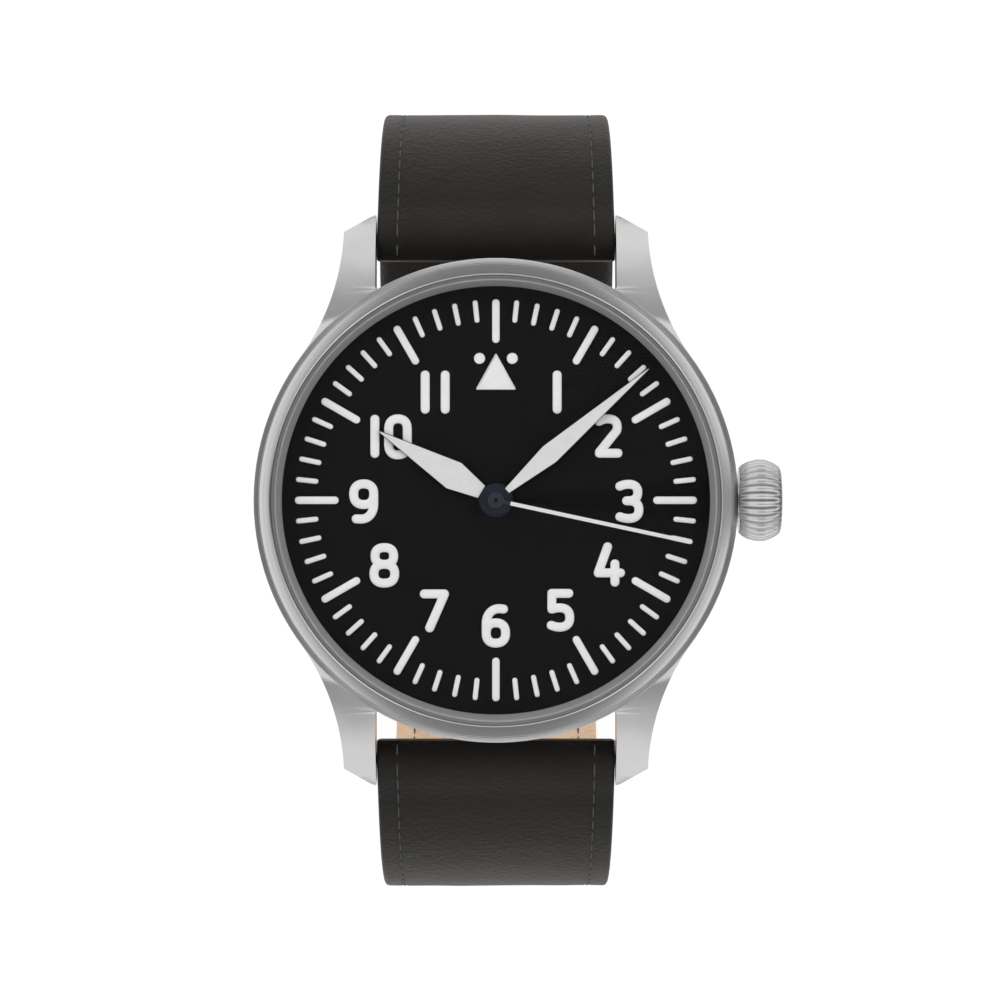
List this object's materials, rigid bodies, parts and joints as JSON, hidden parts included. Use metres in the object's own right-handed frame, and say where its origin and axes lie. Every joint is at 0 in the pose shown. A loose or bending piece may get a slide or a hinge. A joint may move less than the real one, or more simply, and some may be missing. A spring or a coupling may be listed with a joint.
{
  "type": "wristwatch",
  "caption": "Pilot wristwatch with black dial, steel case, hand-wound movement under a glass back, and a buckled two-layer leather strap.",
  "frame": {"origin": "centre of the case back's outer face", "axes": "+Z leaves the dial towards the viewer, +Y points to 12 o'clock, +X to the crown"},
  "size_m": [0.0436, 0.0676, 0.0559],
  "materials": {
    "case_steel": "satin brushed",
    "bezel_steel": "circular brushed",
    "crown_steel": "satin",
    "buckle_steel": "satin brushed",
    "crystal_glass": "clear polished",
    "seal_rubber": "matt",
    "flange_paint": "satin grey",
    "dial_black": "matt black",
    "mark_lume": "off-white",
    "hand_navy": "dark",
    "holder_plastic": "matt grey",
    "movement_nickel": "nickel plated",
    "wheel_brass": "polished",
    "movement_steel": "polished",
    "screw_blue": "blued steel",
    "jewel_red": "polished ruby",
    "leather_black": "matt oiled",
    "leather_tan": "smooth natural"
  },
  "bodies": {
    "root": {"case_middle": "case_steel", "bezel": "bezel_steel", "crystal_seal": "seal_rubber", "crystal": "crystal_glass", "flange_ring": "flange_paint", "dial": "dial_black", "hour_marks": "mark_lume", "minute_marks": "mark_lume", "back_ring": "case_steel", "back_seal": "seal_rubber", "back_glass": "crystal_glass", "movement_ring": "holder_plastic", "crown_tube": "case_steel", "jewels": "jewel_red", "bridge_screws": "screw_blue", "pallet_bridge": "movement_nickel", "hairspring": "movement_steel", "main_plate": "movement_nickel", "barrel_bridge": "movement_nickel", "train_bridge": "movement_nickel", "balance_cock": "movement_nickel", "spring_bars": "buckle_steel", "short_strap": "leather_black", "short_lining": "leather_tan", "long_strap": "leather_black", "long_lining": "leather_tan", "fixed_keeper": "leather_black", "buckle_pin": "buckle_steel"},
    "seconds": {"fourth_wheel": "wheel_brass", "seconds_hand": "hand_navy"},
    "minutes": {"centre_wheel": "wheel_brass", "cannon_pinion": "wheel_brass", "minute_hand": "hand_navy", "minute_lume": "mark_lume"},
    "hours": {"hour_wheel": "wheel_brass", "hour_hand": "hand_navy", "hour_lume": "mark_lume"},
    "minute_wheel": {"minute_wheel": "wheel_brass"},
    "third": {"third_wheel": "wheel_brass"},
    "escape": {"escape_wheel": "wheel_brass"},
    "barrel": {"barrel_drum": "wheel_brass", "barrel_cover": "wheel_brass", "mainspring": "movement_steel"},
    "setting_wheel": {"setting_wheel": "movement_steel"},
    "winding_pinion": {"winding_pinion": "movement_steel"},
    "crown_wheel": {"crown_wheel": "movement_steel"},
    "ratchet": {"ratchet_wheel": "movement_steel", "barrel_arbor": "movement_steel", "ratchet_screw": "screw_blue"},
    "crown": {"crown": "crown_steel", "winding_stem": "movement_steel"},
    "sliding_pinion": {"sliding_pinion": "movement_steel"},
    "setting_lever": {"setting_lever": "movement_steel"},
    "yoke": {"yoke": "movement_steel"},
    "click": {"click": "movement_steel"},
    "pallet": {"pallet_fork": "movement_steel"},
    "balance": {"balance_wheel": "wheel_brass"},
    "sliding_keeper": {"sliding_keeper": "leather_black"},
    "buckle": {"buckle_frame": "buckle_steel"},
    "tongue": {"buckle_tongue": "buckle_steel"}
  },
  "joints": [
    {"name": "seconds_spin", "type": "hinge", "parent": "root", "child": "seconds", "pos_m": [0, 0, 0.00825], "axis": [0, 0, -1], "continuous": true},
    {"name": "minutes_spin", "type": "hinge", "parent": "root", "child": "minutes", "pos_m": [0, 0, 0.0078], "axis": [0, 0, -1], "continuous": true},
    {"name": "hours_spin", "type": "hinge", "parent": "root", "child": "hours", "pos_m": [0, 0, 0.00735], "axis": [0, 0, -1], "continuous": true},
    {"name": "minute_wheel_spin", "type": "hinge", "parent": "root", "child": "minute_wheel", "pos_m": [0.00226, -0.00082, 0.00595], "axis": [0, 0, -1], "continuous": true},
    {"name": "third_spin", "type": "hinge", "parent": "root", "child": "third", "pos_m": [-0.00353, 0.00115, 0.00312], "axis": [0, 0, -1], "continuous": true},
    {"name": "escape_spin", "type": "hinge", "parent": "root", "child": "escape", "pos_m": [-0.00083, -0.00361, 0.00366], "axis": [0, 0, -1], "continuous": true},
    {"name": "barrel_spin", "type": "hinge", "parent": "root", "child": "barrel", "pos_m": [0.00275, 0.00517, 0.00366], "axis": [0, 0, -1], "continuous": true},
    {"name": "setting_wheel_spin", "type": "hinge", "parent": "root", "child": "setting_wheel", "pos_m": [0.0055, 0, 0.00595], "axis": [0, 0, -1], "continuous": true},
    {"name": "crown_turn", "type": "hinge", "parent": "root", "child": "winding_pinion", "pos_m": [0.0095, 0, 0.0049], "axis": [1, 0, 0], "continuous": true},
    {"name": "crown_wheel_spin", "type": "hinge", "parent": "root", "child": "crown_wheel", "pos_m": [0.00745, 0, 0.00318], "axis": [0, 0, 1], "continuous": true},
    {"name": "ratchet_spin", "type": "hinge", "parent": "root", "child": "ratchet", "pos_m": [0.00275, 0.00517, 0.00195], "axis": [0, 0, 1], "continuous": true},
    {"name": "crown_pull", "type": "slide", "parent": "winding_pinion", "child": "crown", "axis": [1, 0, 0], "range_m": [0, 0.0011]},
    {"name": "sliding_pinion_shift", "type": "slide", "parent": "winding_pinion", "child": "sliding_pinion", "axis": [-1, 0, 0], "range_m": [0, 0.00051]},
    {"name": "setting_lever_turn", "type": "hinge", "parent": "root", "child": "setting_lever", "pos_m": [0.0112, -0.0033, 0.0059], "axis": [0, 0, -1], "range_deg": [0, 20]},
    {"name": "yoke_turn", "type": "hinge", "parent": "root", "child": "yoke", "pos_m": [0.008, -0.0044, 0.0059], "axis": [0, 0, 1], "range_deg": [0, 7]},
    {"name": "click_swing", "type": "hinge", "parent": "root", "child": "click", "pos_m": [-0.00313, 0.00599, 0.00195], "axis": [0, 0, 1], "range_deg": [0, 8], "stiffness_Nm_per_rad": 0.00001},
    {"name": "pallet_swing", "type": "hinge", "parent": "root", "child": "pallet", "pos_m": [0.00058, -0.0053, 0.00366], "axis": [0, 0, 1], "range_deg": [-5, 5]},
    {"name": "balance_swing", "type": "hinge", "parent": "root", "child": "balance", "pos_m": [0.00244, -0.00752, 0.00268], "axis": [0, 0, 1], "range_deg": [-270, 270], "stiffness_Nm_per_rad": 0.0000002},
    {"name": "keeper_slide", "type": "hinge", "parent": "root", "child": "sliding_keeper", "pos_m": [0, 0.0084, -0.01611], "axis": [1, 0, 0], "range_deg": [-20, 12]},
    {"name": "buckle_tilt", "type": "hinge", "parent": "root", "child": "buckle", "pos_m": [0, -0.005, -0.03976], "axis": [1, 0, 0], "range_deg": [0, 2]},
    {"name": "tongue_tilt", "type": "hinge", "parent": "buckle", "child": "tongue", "pos_m": [0, -0.005, -0.03976], "axis": [1, 0, 0], "range_deg": [0, 5]}
  ],
  "couplings": [
    {"joint": "minutes_spin", "follows": "seconds_spin", "ratio": 0.016667},
    {"joint": "hours_spin", "follows": "seconds_spin", "ratio": 0.0013889},
    {"joint": "minute_wheel_spin", "follows": "seconds_spin", "ratio": -0.0055556},
    {"joint": "third_spin", "follows": "seconds_spin", "ratio": -0.13333},
    {"joint": "escape_spin", "follows": "seconds_spin", "ratio": -12},
    {"joint": "barrel_spin", "follows": "seconds_spin", "ratio": -0.0020833},
    {"joint": "setting_wheel_spin", "follows": "seconds_spin", "ratio": 0.0064516},
    {"joint": "crown_wheel_spin", "follows": "crown_turn", "ratio": 0.57692},
    {"joint": "ratchet_spin", "follows": "crown_turn", "ratio": -0.34884},
    {"joint": "sliding_pinion_shift", "follows": "crown_pull", "ratio": 0.45454},
    {"joint": "setting_lever_turn", "follows": "crown_pull", "rad_per_m": 303.03},
    {"joint": "yoke_turn", "follows": "crown_pull", "rad_per_m": 103.31}
  ]
}
